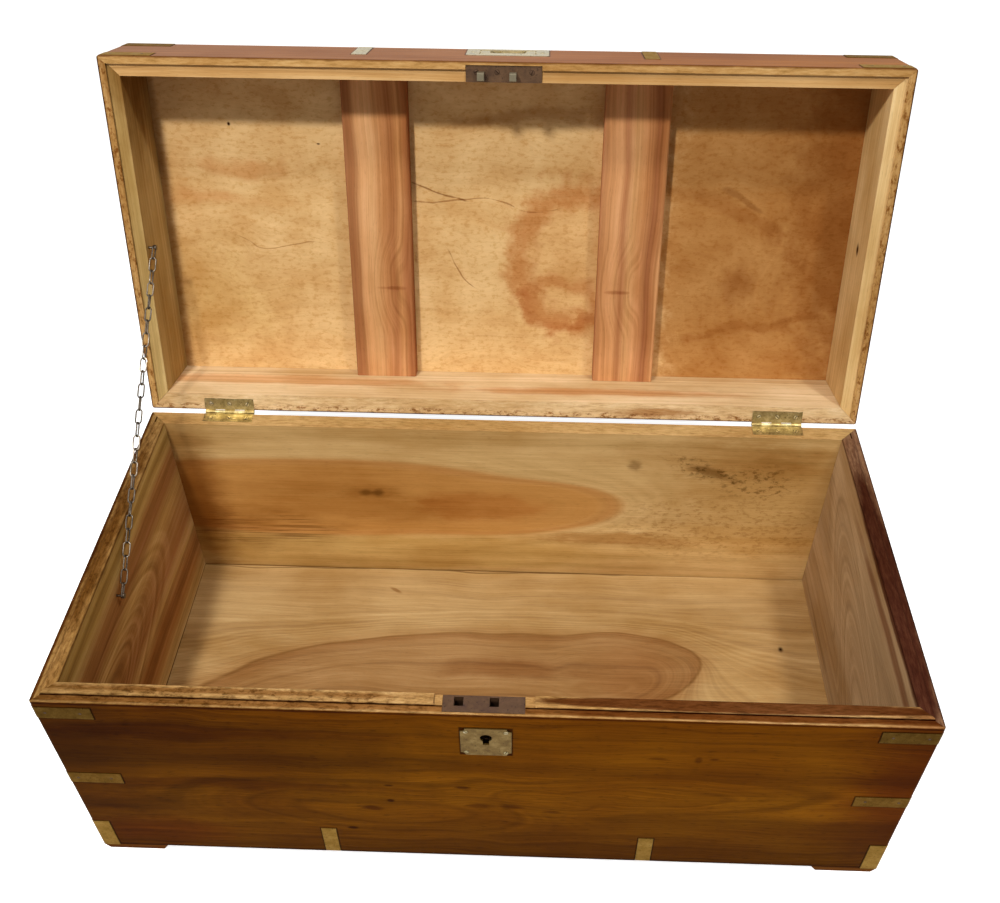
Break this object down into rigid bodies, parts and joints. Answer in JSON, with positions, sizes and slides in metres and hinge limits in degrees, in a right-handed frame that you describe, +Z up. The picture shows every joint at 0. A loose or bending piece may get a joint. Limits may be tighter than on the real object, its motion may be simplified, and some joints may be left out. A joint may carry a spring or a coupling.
{
  "type": "storage trunk",
  "caption": "Camphor wood trunk with mitred corners bound in inlaid brass straps, a rimmed base, a hinged lid held open by a stay chain, a box lock and flush carrying handles.",
  "frame": {"origin": "on the ground under the middle of the whole trunk with its lid open, at the middle of its bounding box", "axes": "+X to the right along the front, +Y from the front to the back, +Z up; the trunk stands on its four feet"},
  "size_m": [0.915, 0.6521, 0.7339],
  "materials": {
    "polished_camphor": "french polished",
    "plain_camphor": "bare, planed",
    "red_camphor": "bare, planed",
    "aged_brass": "dull, aged",
    "bright_brass": "handled, bright",
    "lock_iron": "browned iron",
    "chain_steel": "aged wire"
  },
  "bodies": {
    "base": {"base_front_board": "polished_camphor", "base_back_board": "polished_camphor", "base_left_board": "polished_camphor", "base_right_board": "polished_camphor", "bottom_board": "plain_camphor", "foot_front_left": "polished_camphor", "foot_front_right": "polished_camphor", "foot_rear_left": "polished_camphor", "foot_rear_right": "polished_camphor", "strap_top_front_left": "aged_brass", "strap_top_front_right": "aged_brass", "strap_top_rear_left": "aged_brass", "strap_top_rear_right": "aged_brass", "strap_middle_front_left": "aged_brass", "strap_middle_front_right": "aged_brass", "strap_middle_rear_left": "aged_brass", "strap_middle_rear_right": "aged_brass", "strap_bottom_front_left": "aged_brass", "strap_bottom_front_right": "aged_brass", "strap_bottom_rear_left": "aged_brass", "strap_bottom_rear_right": "aged_brass", "strap_edge_left": "aged_brass", "strap_edge_right": "aged_brass", "lock_case": "lock_iron", "escutcheon": "aged_brass", "hinge_base_leaf_left": "bright_brass", "hinge_base_leaf_right": "bright_brass", "hinge_pin_left": "bright_brass", "hinge_pin_right": "bright_brass", "handle_left_plate": "aged_brass", "handle_right_plate": "aged_brass", "chain_screw_base": "bright_brass"},
    "lid": {"lid_front_board": "polished_camphor", "lid_back_board": "polished_camphor", "lid_left_board": "polished_camphor", "lid_right_board": "polished_camphor", "lid_panel": "plain_camphor", "lid_batten_left": "red_camphor", "lid_batten_right": "red_camphor", "lid_strap_rim_front_left": "aged_brass", "lid_strap_rim_front_right": "aged_brass", "lid_strap_rim_rear_left": "aged_brass", "lid_strap_rim_rear_right": "aged_brass", "lid_strap_top_front_left": "aged_brass", "lid_strap_top_front_right": "aged_brass", "lid_strap_top_rear_left": "aged_brass", "lid_strap_top_rear_right": "aged_brass", "lid_strap_edge_left": "aged_brass", "lid_strap_edge_right": "aged_brass", "staple_plate": "lock_iron", "lid_pull_plate": "aged_brass", "hinge_lid_leaf_left": "bright_brass", "hinge_lid_leaf_right": "bright_brass", "chain_screw_lid": "bright_brass"},
    "chain_lower": {"chain_lower": "chain_steel"},
    "chain_upper": {"chain_upper": "chain_steel"},
    "lid_pull_bail": {"lid_pull_bail": "aged_brass"},
    "handle_left_bail": {"handle_left_bail": "aged_brass"},
    "handle_right_bail": {"handle_right_bail": "aged_brass"},
    "lock_bolt": {"lock_bolt": "lock_iron"}
  },
  "joints": [
    {"name": "lid_hinge", "type": "hinge", "parent": "base", "child": "lid", "pos_m": [0, 0.11713, 0.3067], "axis": [1, 0, 0], "range_deg": [0, 105]},
    {"name": "chain_lower_swing", "type": "hinge", "parent": "base", "child": "chain_lower", "pos_m": [-0.4278, -0.14897, 0.256], "axis": [1, 0, 0], "range_deg": [-97.51, 0]},
    {"name": "chain_upper_swing", "type": "hinge", "parent": "lid", "child": "chain_upper", "pos_m": [-0.4278, 0.18543, 0.51254], "axis": [1, 0, 0], "range_deg": [-22.51, 0]},
    {"name": "lid_pull_swing", "type": "hinge", "parent": "lid", "child": "lid_pull_bail", "pos_m": [0.0021, 0.31013, 0.71154], "axis": [-1, 0, 0], "range_deg": [0, 90]},
    {"name": "handle_left_swing", "type": "hinge", "parent": "base", "child": "handle_left_bail", "pos_m": [-0.4543, -0.10547, 0.21925], "axis": [0, 1, 0], "range_deg": [0, 90]},
    {"name": "handle_right_swing", "type": "hinge", "parent": "base", "child": "handle_right_bail", "pos_m": [0.4543, -0.10547, 0.21925], "axis": [0, -1, 0], "range_deg": [0, 90]},
    {"name": "lock_bolt_slide", "type": "slide", "parent": "base", "child": "lock_bolt", "axis": [1, 0, 0], "range_m": [0, 0.0064]}
  ],
  "couplings": [
    {"joint": "chain_lower_swing", "follows": "lid_hinge", "ratio": -0.92851},
    {"joint": "chain_upper_swing", "follows": "lid_hinge", "ratio": -0.21422}
  ]
}
